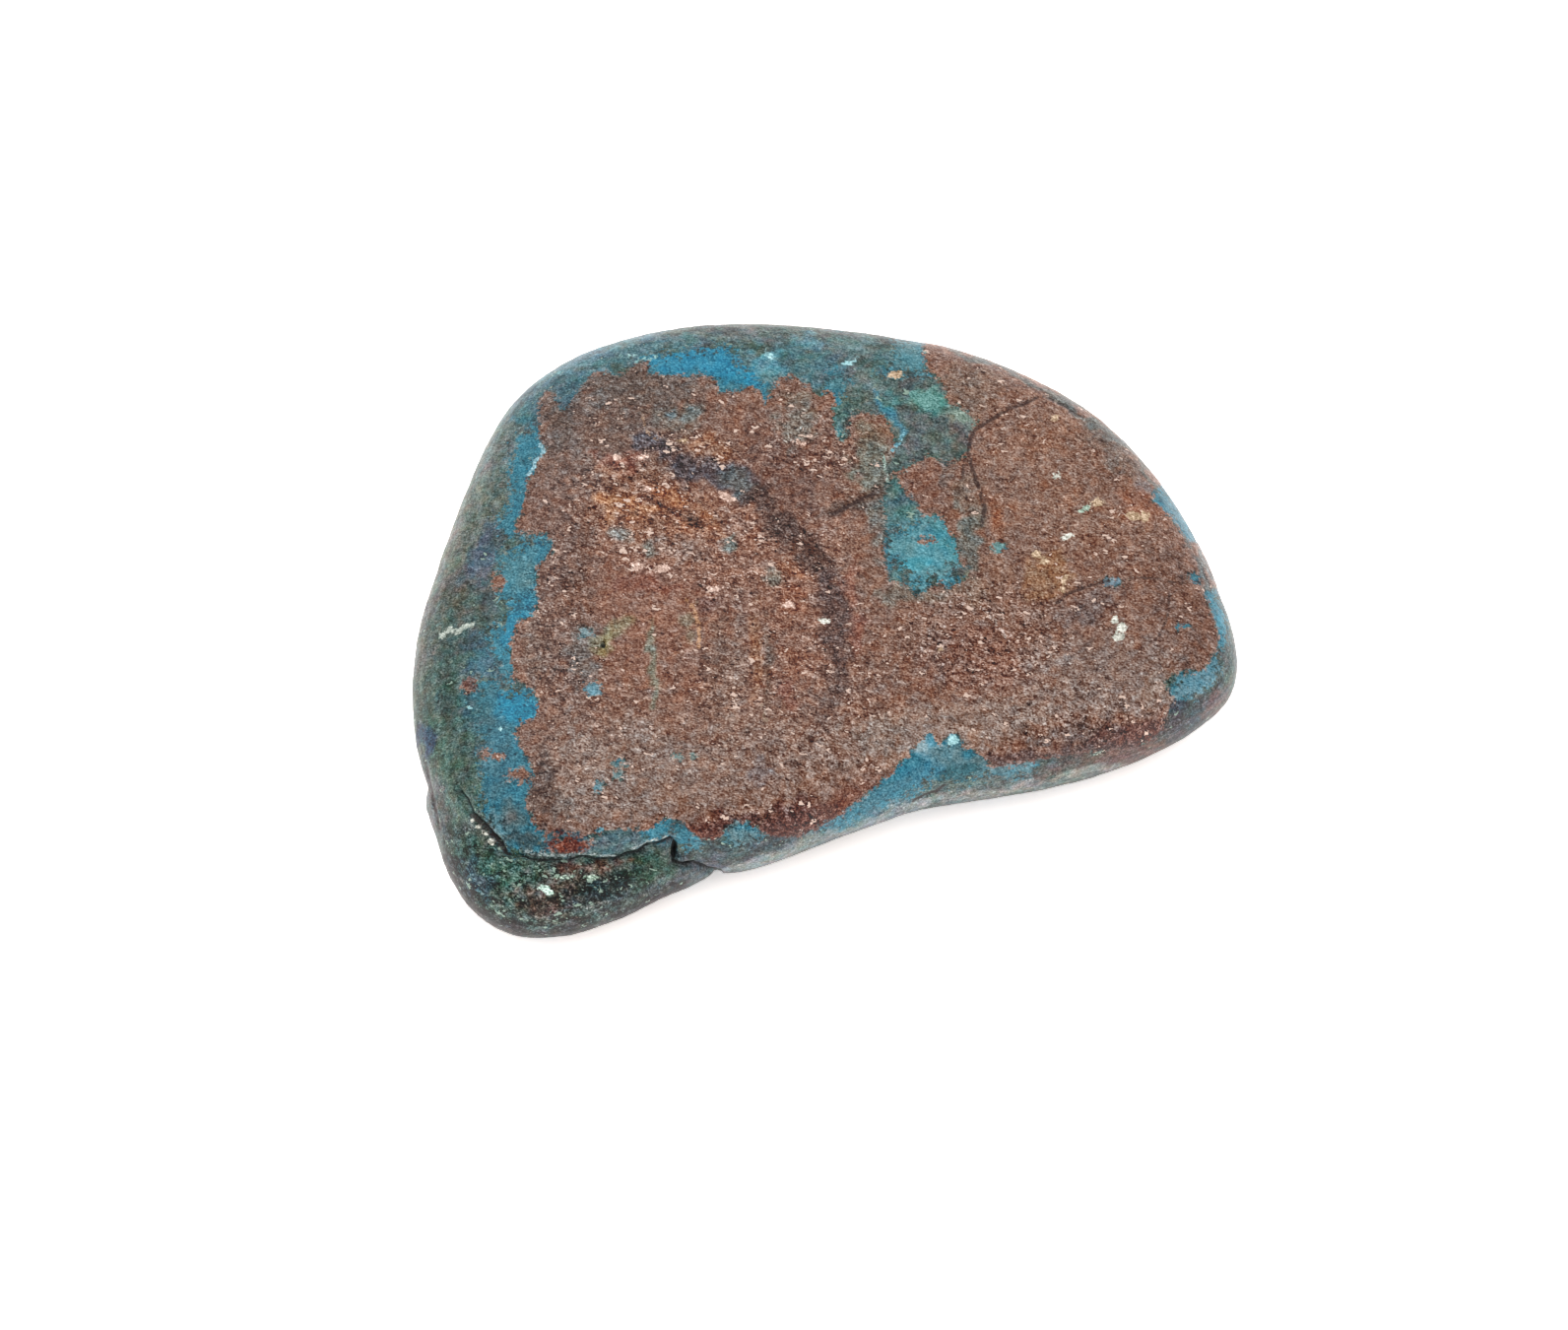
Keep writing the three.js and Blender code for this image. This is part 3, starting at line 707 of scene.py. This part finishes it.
def build_stone(source):
    """The stone's own piece: its fine surface, its wear and cracks, and the maps it is painted by."""
    mesh = fine_mesh(source)
    edges = np.empty(len(mesh.edges) * 2, int)
    mesh.edges.foreach_get("vertices", edges)
    points, _ = read_points(mesh)
    points = smooth(points, edges.reshape(-1, 2), SMOOTHING_ROUNDS)
    write_points(mesh, points)
    points, normals = read_points(mesh)
    growth = RIM_GROWTH + FULL_GROWTH * ease(normals @ FULL_SIDE, 0.1, 0.7)
    points += normals * (growth * np.hypot(normals[:, 0], normals[:, 1]))[:, None]

    places = pixels_of(points)
    hidden = ease(-(normals @ TO_CAMERA), 0.02, 0.35)
    field, blue = seen_depths(places)
    under_field, under_blue = under_depths(points)
    field += hidden * (under_field - field)
    blue += hidden * (under_blue - blue)
    blue += BLUE_BORDER * ease(-field, 0.9, 0.1) * (field < 0)
    grains, grain_colours = grain_map(places)
    grains = np.where(hidden > HIDDEN_LIMIT, -1.0, grains)
    cracks = np.where(hidden > HIDDEN_LIMIT, -1.0, crack_depth(places))
    ledge = ledge_depth(places) * (1 - hidden)
    glints = glint_map(places, field) * (1 - hidden) + UNSEEN_GLINT * hidden

    size, reach = WANDER
    strayed = places + np.stack([cloud(points, size, seed, 4) for seed in (1, 2)], axis=1) * reach
    size, strength = MOTTLE
    mottle = strength * cloud(points, size, 3)
    # Painted shade under the rim: the colours darken where the surface turns down toward the table.
    painted_belly_shade = BELLY_SHADE * ease(-normals[:, 2], 0.05, 0.46) * ease(-normals[:, 2], 0.99, 0.9)
    colours = {}
    for name, (ground, tints, streaks) in MINERALS_AND_PAINTED_LIGHT.items():
        seen_colours = blend_zones(strayed, mottle, ground, tints, streaks)
        colours[name] = seen_colours + hidden[:, None] * (paint(ground) - seen_colours)
        colours[name] *= 1 - painted_belly_shade[:, None]

    hollow = HOLLOW_DEPTH * ease(oval_reach(strayed, *HOLLOW), 1.12, 0.85) * (1 - hidden)
    relief = sum(height * cloud(points, size, seed) for height, size, seed in SWELLS)
    film = FILM_STEP * ease(field, 0.12, -0.12)
    hairlines = HAIRLINE_DEPTH * ease(cracks, -0.1, 0.08)
    points = points + normals * (relief - film - hairlines - ledge - hollow)[:, None]
    low, high = (np.array(corner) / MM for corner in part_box(NODE))
    points = np.clip(points, low - BOX_SPARE, high + BOX_SPARE)
    write_points(mesh, points)

    maps = {"field": field, "blue": blue, "grains": grains, "cracks": cracks, "glints": glints,
            "ledge": ledge, **colours, "grain_colour": grain_colours}
    for name, values in maps.items():
        set_attribute(mesh, name, values)
    mesh.shade_smooth()
    return add_object("polished_stone", mesh)


# --- The material ---


class Graph:
    """A tree of shader nodes. An input is a plain value or another node's output."""

    def __init__(self, tree):
        self.tree = tree
        tree.nodes.clear()

    def add(self, kind, inputs, **settings):
        node = self.tree.nodes.new("ShaderNode" + kind)
        for name, value in settings.items():
            setattr(node, name, value)
        for socket, value in inputs.items():
            if isinstance(value, bpy.types.NodeSocket):
                self.tree.links.new(value, node.inputs[socket])
            else:
                node.inputs[socket].default_value = value
        return node

    def attribute(self, name, output="Fac"):
        return self.add("Attribute", {}, attribute_name=name).outputs[output]

    def math(self, operation, first, second=0.0):
        node = self.add("Math", {0: first, 1: second}, operation=operation)
        return node.outputs[0]

    def vector(self, operation, first, second):
        node = self.add("VectorMath", {0: first, 1: second}, operation=operation)
        return node.outputs[0]

    def scaled(self, vector, factors, turn=0.0):
        """A vector turned about Z, in degrees, and then stretched."""
        turned = self.add("VectorRotate", {"Vector": vector, "Angle": np.radians(turn)},
                          rotation_type="Z_AXIS").outputs[0]
        return self.vector("MULTIPLY", turned, factors)

    def noise(self, vector, scale, detail=2.0, roughness=0.5, distortion=0.0):
        return self.add("TexNoise", {
            "Vector": vector, "Scale": scale, "Detail": detail, "Roughness": roughness,
            "Distortion": distortion}).outputs[0]

    def step(self, value, low, high, bottom=0.0, top=1.0):
        """A smooth step from bottom, where the value is low, to top, where it is high."""
        return self.add("MapRange", {
            0: value, 1: low, 2: high, 3: bottom, 4: top}, interpolation_type="SMOOTHSTEP").outputs[0]

    def span(self, value, low, high, bottom, top):
        """The same as a straight line."""
        return self.add("MapRange", {
            0: value, 1: low, 2: high, 3: bottom, 4: top}).outputs[0]

    def swing(self, *noises):
        """The sum of several noises, each counted from its middle and times its strength."""
        total = 0.0
        for value, middle, strength in noises:
            part = self.math("MULTIPLY", self.math("SUBTRACT", value, middle), strength)
            total = self.math("ADD", total, part)
        return total

    def mix(self, factor, first, second):
        return self.add("Mix", {0: factor, 6: first, 7: second}, data_type="RGBA").outputs[2]

    def graded(self, colour, *steps):
        """A colour moved by numbers of levels, as the eye counts them, each its own way."""
        eye = self.add("Gamma", {0: colour, 1: 1 / GAMMA}).outputs[0]
        for levels, direction in steps:
            step = tuple(share * LEVEL for share in direction)
            eye = self.add("VectorMath", {0: levels, 1: step, 2: eye},
                           operation="MULTIPLY_ADD").outputs[0]
        eye = self.vector("MAXIMUM", eye, (DARKEST,) * 3)
        return self.add("Gamma", {0: eye, 1: GAMMA}).outputs[0]


def solid(colour):
    return (*paint(colour), 1.0)


def add_grains(graph, place, scale, warp):
    """Small grains: three random numbers of each grain's own, and the distance from its middle."""
    bend = graph.add("TexNoise", {"Vector": place, "Scale": 1.3 * scale, "Detail": 1.0})
    bend = graph.vector("SUBTRACT", bend.outputs["Color"], (0.5, 0.5, 0.5))
    bend = graph.vector("MULTIPLY", bend, (4 * warp / scale,) * 3)
    cells = graph.add("TexVoronoi", {"Vector": graph.vector("ADD", place, bend), "Scale": scale})
    numbers = graph.add("SeparateColor", {0: cells.outputs["Color"]}).outputs
    return numbers[0], numbers[1], numbers[2], cells.outputs["Distance"]


def flake_edges(graph, place):
    """Thin curved lines along the edges of flakes, 0 to 1."""
    curl = graph.noise(place, 2.3, 1.0, 0.5, 0.8)
    lines = graph.step(graph.math("ABSOLUTE", graph.math("SUBTRACT", curl, 0.5)), 0.045, 0.0)
    return graph.math("MULTIPLY", lines, graph.step(graph.noise(place, 2.9, 1.0), 0.42, 0.6))


def stone_grain(graph, place, density):
    """The grain that every mineral has, with painted light and shade, in levels lighter or darker, and
    two of its random parts.
    """
    place = graph.scaled(place, (0.84, 1.18, 1.0), 10.0)
    light, _, pick, _ = add_grains(graph, place, 3.6, 0.35)
    fine, _, _, _ = add_grains(graph, place, 7.2, 0.35)
    dust = graph.noise(place, 8.0, 0.0)
    blots = graph.noise(place, 1.6, 3.0, 0.6)
    # Painted light and shade: a pattern minus itself moved a little looks lit from one side.
    near = graph.vector("ADD", place, (0.05, 0.07, 0.0))
    far = graph.vector("ADD", place, (0.05, 0.15, 0.0))
    edges = graph.math("SUBTRACT", flake_edges(graph, place), flake_edges(graph, far))
    relief = graph.math("SUBTRACT", graph.noise(place, 3.4, 1.0, 0.5, 0.8),
                        graph.noise(near, 3.4, 1.0, 0.5, 0.8))
    # Sparks: small painted highlights on a few grains.
    _, size, chance, reach = add_grains(graph, place, 3.2, 0.5)
    depth = graph.math("SUBTRACT", graph.span(size, 0.0, 1.0, 0.15, 0.5), reach)
    spark = graph.math("MULTIPLY", graph.math("GREATER_THAN", chance, 0.84),
                       graph.step(depth, -0.04, 0.08))
    coarse = graph.swing(
        (light, 0.5, 56), (blots, 0.5, 165), (relief, 0.0, 150), (edges, 0.0, 60), (spark, 0.03, 52),
        (graph.step(pick, 0.1, 0.04), 0.07, -40), (graph.step(pick, 0.86, 0.95), 0.06, 28))
    fine = graph.swing((fine, 0.5, 32), (dust, 0.5, 140))
    coarse = graph.math("MULTIPLY", coarse, graph.span(density, 0.0, 1.0, 0.52, 1.1))
    fine = graph.math("MULTIPLY", fine, graph.span(density, 0.0, 1.0, 0.95, 1.25))
    return graph.math("ADD", coarse, fine), light, blots


def add_glints(graph, place, density):
    """Painted glints in a few grains: where they are, and painted shade over the rest of their grains."""
    place = graph.scaled(place, (0.7, 1.15, 1.0), 12.0)
    _, size, chance, reach = add_grains(graph, place, 2.6, 0.5)
    crowds = graph.noise(place, 0.7, 2.0, 0.6)
    least = graph.math("ADD", graph.span(density, 0.0, 1.0, 1.0, 0.8),
                       graph.span(crowds, 0.35, 0.65, 0.09, -0.09))
    chosen = graph.math("GREATER_THAN", chance, least)
    depth = graph.math("SUBTRACT", graph.span(size, 0.0, 1.0, 0.2, 0.52), reach)
    glint = graph.math("MULTIPLY", chosen, graph.step(depth, -0.02, 0.06))
    return glint, graph.math("SUBTRACT", chosen, glint)


def stone_material():
    """Cuprite, chrysocolla and their films, with painted glints and shade, mixed by the maps that the
    stone's points carry.
    """
    material = bpy.data.materials.new("cuprite_and_chrysocolla")
    material.use_nodes = True
    graph = Graph(material.node_tree)
    place = graph.add("TexCoord", {}).outputs["Object"]
    place = graph.scaled(place, (1 / MM,) * 3)
    density = graph.attribute("glints")
    grain, light, blots = stone_grain(graph, place, density)
    glint, glint_shade = add_glints(graph, place, density)
    # Painted shade over the rest of each glinting grain.
    grain = graph.math("SUBTRACT", grain, graph.math("MULTIPLY", glint_shade, 30))
    patches = graph.noise(place, 0.42, 3.0, 0.5, 0.8)
    stains = graph.noise(place, 1.1, 3.0, 0.5, 0.5)

    spots = graph.noise(place, 1.5, 2.0, 0.5, 0.6)
    redder = graph.swing((patches, 0.5, 0.6), (spots, 0.5, 1.1))
    cuprite = graph.graded(graph.attribute("field_colour", "Color"),
                           (grain, GRAIN_LEAN), (redder, RED_LEAN))
    # Painted highlights: the glints are mixed into the cuprite's colour.
    cuprite = graph.mix(glint, cuprite, solid(GLINT))

    bluer = graph.swing((patches, 0.5, 0.5), (stains, 0.5, 0.7))
    blue = graph.graded(graph.attribute("blue_colour", "Color"),
                        (graph.math("MULTIPLY", grain, 0.7), EVEN), (bluer, BLUE_LEAN))

    greener = graph.swing((patches, 0.5, 0.6), (stains, 0.5, 0.6))
    browner = graph.swing((graph.noise(place, 1.4, 3.0, 0.5, 0.5), 0.5, 0.8))
    layers = graph.noise(graph.scaled(place, (0.3, 0.3, 3.0)), 1.0, 3.0, 0.6)
    rim_grain = graph.swing((grain, 0.0, 0.8), (layers, 0.5, 90))
    rim = graph.graded(graph.attribute("rim_colour", "Color"), (rim_grain, EVEN),
                       (greener, GREEN_LEAN), (browner, BROWN_LEAN))
    # the rim's pale specks lie where the painted glints do
    rim = graph.mix(graph.math("MULTIPLY", glint, 0.8), rim, solid(RIM_SPECK))

    blue_noise = graph.noise(place, 2.4, 6.0, 0.72)
    blue_edge = graph.math("ADD", graph.attribute("blue"),
                           graph.swing((blue_noise, 0.5, 4.8), (light, 0.5, 0.5)))
    colour = graph.mix(graph.step(blue_edge, -0.3, 0.2), rim, blue)
    edge_noise = graph.span(graph.noise(place, 3.0, 4.0, 0.65), 0.25, 0.75, -0.35, 0.35)
    field_edge = graph.math("ADD", graph.attribute("field"),
                            graph.swing((edge_noise, 0.0, 1.0), (light, 0.5, 0.35)))
    colour = graph.mix(graph.step(field_edge, -0.12, 0.12), colour, cuprite)
    grain_edge = graph.math("ADD", graph.attribute("grains"), graph.math("MULTIPLY", edge_noise, 0.6))
    pale = graph.graded(graph.attribute("grain_colour", "Color"), (grain, EVEN))
    colour = graph.mix(graph.step(grain_edge, -0.03, 0.05), colour, pale)
    crack = graph.math("ADD", graph.attribute("cracks"), graph.math("MULTIPLY", edge_noise, 0.4))
    colour = graph.mix(graph.step(crack, -0.07, 0.05, 0.0, 0.75), colour, solid(CRACK))
    # Painted shade: the crack under the ledge and the holes are darkened where they cut deep.
    colour = graph.mix(graph.step(graph.attribute("ledge"), 0.2, 0.4, 0.0, 0.9), colour, solid(PAINTED_CREVICE_SHADE))

    roughness = graph.math("SUBTRACT", graph.span(blots, 0.3, 0.7, 0.36, 0.5),
                           graph.math("MULTIPLY", glint, 0.1))
    height = graph.math("ADD", graph.math("MULTIPLY", blots, 0.06), graph.math("MULTIPLY", light, 0.012))
    bump = graph.add("Bump", {"Height": height, "Distance": MM, "Strength": 1.0})
    shader = graph.add("BsdfPrincipled", {
        "Base Color": colour, "Roughness": roughness, "Normal": bump.outputs[0],
        "Specular IOR Level": 0.2})
    graph.add("OutputMaterial", {"Surface": shader.outputs[0]})
    return material


# --- The room ---


def lay_floor():
    """A white table top just under the stone."""
    mesh = bpy.data.meshes.new("floor")
    half = FLOOR_WIDTH / 2
    corners = [(-half, -half, 0), (half, -half, 0), (half, half, 0), (-half, half, 0)]
    mesh.from_pydata(corners, [], [(0, 1, 2, 3)])
    floor = add_object("floor", mesh)
    floor.location.z = -FLOOR_DROP
    material = bpy.data.materials.new("white_table")
    material.use_nodes = True
    graph = Graph(material.node_tree)
    shader = graph.add("BsdfDiffuse", {"Color": (*FLOOR_WHITE, 1.0)})
    graph.add("OutputMaterial", {"Surface": shader.outputs[0]})
    mesh.materials.append(material)


def light_room():
    """White surroundings, a little darker behind the camera, and one soft lamp above the back."""
    world = bpy.data.worlds.new("white_room")
    world.use_nodes = True
    graph = Graph(world.node_tree)
    direction = graph.add("TexCoord", {}).outputs["Generated"]
    toward_back = graph.add("SeparateXYZ", {0: direction}).outputs["Y"]
    light = graph.step(toward_back, -1.0, 0.6, ROOM_FRONT, ROOM_BACK)
    background = graph.add("Background", {"Color": (1.0, 1.0, 1.0, 1.0), "Strength": light})
    graph.add("OutputWorld", {"Surface": background.outputs[0]})
    bpy.context.scene.world = world

    lamp = bpy.data.lights.new("soft_lamp", "AREA")
    lamp.size = LAMP_WIDTH
    lamp.energy = LAMP_POWER
    lamp_object = add_object("soft_lamp", lamp)
    lamp_object.location = LAMP_PLACE
    lamp_object.rotation_euler = (-Vector(LAMP_PLACE)).to_track_quat("-Z", "Y").to_euler()


def place_camera():
    """The view from the front, well above the stone."""
    camera = bpy.data.cameras.new("camera")
    camera.sensor_width = SENSOR_WIDTH
    camera.lens = SENSOR_WIDTH * FOCAL_PIXELS / FRAME_PIXELS[0]
    camera.clip_start = 0.01
    camera_object = add_object("camera", camera)
    camera_object.location = CAMERA_PLACE * MM
    camera_object.rotation_euler = (-Vector(TO_CAMERA)).to_track_quat("-Z", "Y").to_euler()
    bpy.context.scene.camera = camera_object


# --- The scene ---

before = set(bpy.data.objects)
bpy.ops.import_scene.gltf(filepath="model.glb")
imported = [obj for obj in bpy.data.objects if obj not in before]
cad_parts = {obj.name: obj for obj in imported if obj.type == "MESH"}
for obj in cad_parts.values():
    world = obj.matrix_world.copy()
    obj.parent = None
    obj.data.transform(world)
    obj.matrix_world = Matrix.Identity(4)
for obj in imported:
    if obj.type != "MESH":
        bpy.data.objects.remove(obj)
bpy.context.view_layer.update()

place_camera()
stone = build_stone(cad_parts[NODE])
stone.data.materials.clear()
stone.data.materials.append(stone_material())
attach(stone, "root")
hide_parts(NODE)
lay_floor()
light_room()
bpy.context.scene.view_settings.view_transform = "Standard"
